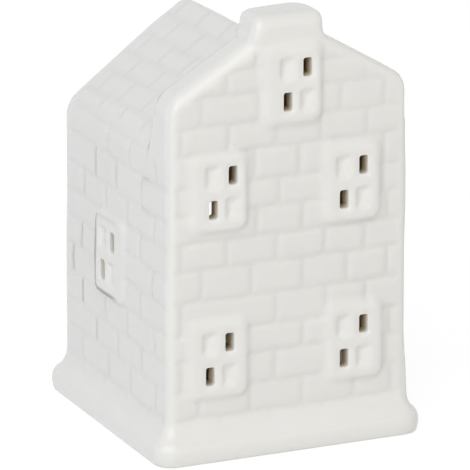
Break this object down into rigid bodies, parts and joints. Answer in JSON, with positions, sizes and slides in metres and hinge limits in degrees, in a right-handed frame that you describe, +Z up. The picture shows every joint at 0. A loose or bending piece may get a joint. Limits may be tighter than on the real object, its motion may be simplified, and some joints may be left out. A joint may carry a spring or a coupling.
{
  "type": "house tea light holder",
  "caption": "Glazed white porcelain house with pierced windows, open underneath, that lifts off over a tea light in a metal cup.",
  "frame": {"origin": "centre of the footprint, on the surface that the house stands on", "axes": "+Z up, the front gable with its chimney faces -Y, +X to the right seen from the front"},
  "size_m": [0.0892, 0.091, 0.138],
  "materials": {
    "porcelain": "glossy clear glaze over warm white porcelain",
    "cup_metal": "thin pressed aluminium, satin",
    "candle_wax": "white paraffin wax, softly translucent",
    "tab_metal": "thin tinned steel",
    "wick_cotton": "braided cotton, waxed"
  },
  "bodies": {
    "tea_light": {"tea_light_cup": "cup_metal", "tea_light_wax": "candle_wax", "tea_light_wick_tab": "tab_metal", "tea_light_wick": "wick_cotton"},
    "house": {"porcelain_house": "porcelain"}
  },
  "joints": [
    {"name": "house_lift", "type": "slide", "parent": "tea_light", "child": "house", "axis": [0, 0, 1], "range_m": [0, 0.08]}
  ]
}
